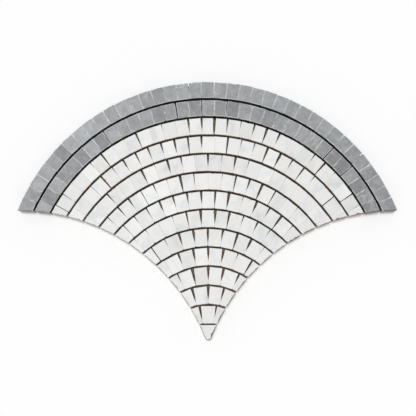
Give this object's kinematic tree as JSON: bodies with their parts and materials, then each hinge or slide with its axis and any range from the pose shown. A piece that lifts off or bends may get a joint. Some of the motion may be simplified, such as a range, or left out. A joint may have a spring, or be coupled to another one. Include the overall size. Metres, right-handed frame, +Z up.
{
  "type": "fish scale mosaic tile",
  "caption": "Fan-shaped marble mosaic tile: curved rows of small white stone chips under a grey border, on a mesh backing, that nests with like tiles as fish scales do.",
  "frame": {"origin": "under the middle of the sheet, on the plane that it is bedded on", "axes": "+X across the fan from corner to corner, +Y from the tip to the crown, +Z up through the stone to its face"},
  "size_m": [0.3, 0.2054, 0.01],
  "materials": {
    "grey_marble": "honed",
    "white_marble": "honed",
    "mesh_thread": "coated yarn"
  },
  "bodies": {
    "root": {"border_row_1": "grey_marble", "border_row_2": "grey_marble", "field_row_01": "white_marble", "field_row_02": "white_marble", "field_row_03": "white_marble", "field_row_04": "white_marble", "field_row_05": "white_marble", "field_row_06": "white_marble", "field_row_07": "white_marble", "field_row_08": "white_marble", "field_row_09": "white_marble", "field_row_10": "white_marble", "field_row_11": "white_marble", "mesh_warp": "mesh_thread", "mesh_weft": "mesh_thread", "tip_chip": "white_marble"}
  },
  "joints": []
}
